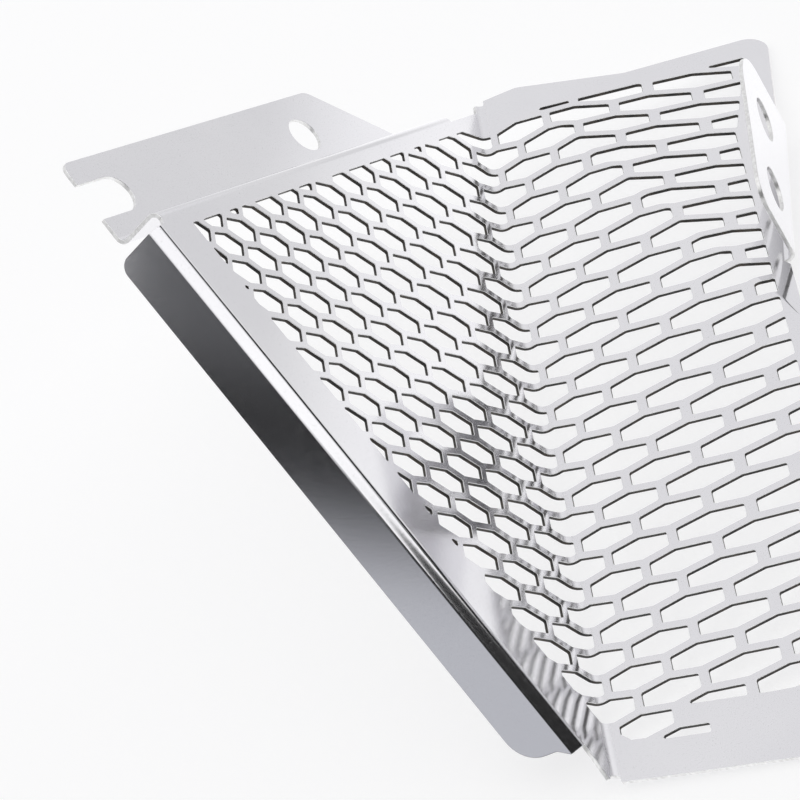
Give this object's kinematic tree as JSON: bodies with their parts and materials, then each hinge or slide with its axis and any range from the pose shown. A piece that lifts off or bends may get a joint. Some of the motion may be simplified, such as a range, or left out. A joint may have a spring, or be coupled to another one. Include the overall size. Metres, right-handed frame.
{
  "type": "radiator guard",
  "caption": "Folded sheet-metal radiator guard with a pierced hexagon mesh, angled side wings, slotted mounting tabs and drilled ears.",
  "frame": {"origin": "centre of the bounding box's base, with the guard lying on its back", "axes": "+X across the guard, +Y towards the notched top edge, +Z out of the front"},
  "size_m": [0.3254, 0.228, 0.1148],
  "materials": {
    "steel": "bright polished stainless, faintly brushed"
  },
  "bodies": {
    "root": {"guard_sheet": "steel"}
  },
  "joints": []
}
